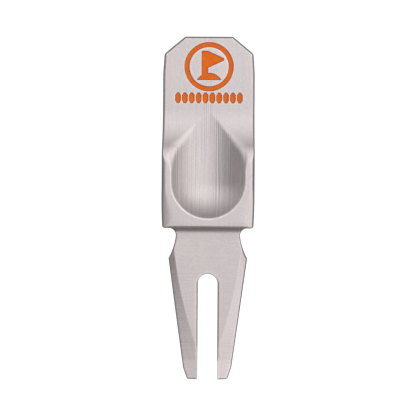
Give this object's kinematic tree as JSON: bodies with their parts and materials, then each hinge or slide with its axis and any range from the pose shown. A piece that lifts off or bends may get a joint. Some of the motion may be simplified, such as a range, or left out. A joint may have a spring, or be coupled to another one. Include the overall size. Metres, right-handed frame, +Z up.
{
  "type": "divot repair tool",
  "caption": "Flat two-prong turf repair tool milled from metal, with a raised thumb scoop and paint-filled engraved marks on its head plate.",
  "frame": {"origin": "middle of the footprint, on the flat back that the tool rests on", "axes": "+Y from the prong tips toward the head plate, +Z up through the thickness toward the engraved face, +X to the right seen from the front with the head up"},
  "size_m": [0.0212, 0.08, 0.0085],
  "materials": {
    "metal": "satin, fine milling lines, light warm grey",
    "paint": "semi-gloss orange enamel, slightly dished where it dried in the engraving"
  },
  "bodies": {
    "root": {"milled_body": "metal", "paint_ring": "paint", "paint_flag": "paint", "paint_mark_01": "paint", "paint_mark_02": "paint", "paint_mark_03": "paint", "paint_mark_04": "paint", "paint_mark_05": "paint", "paint_mark_06": "paint", "paint_mark_07": "paint", "paint_mark_08": "paint", "paint_mark_09": "paint", "paint_mark_10": "paint"}
  },
  "joints": []
}
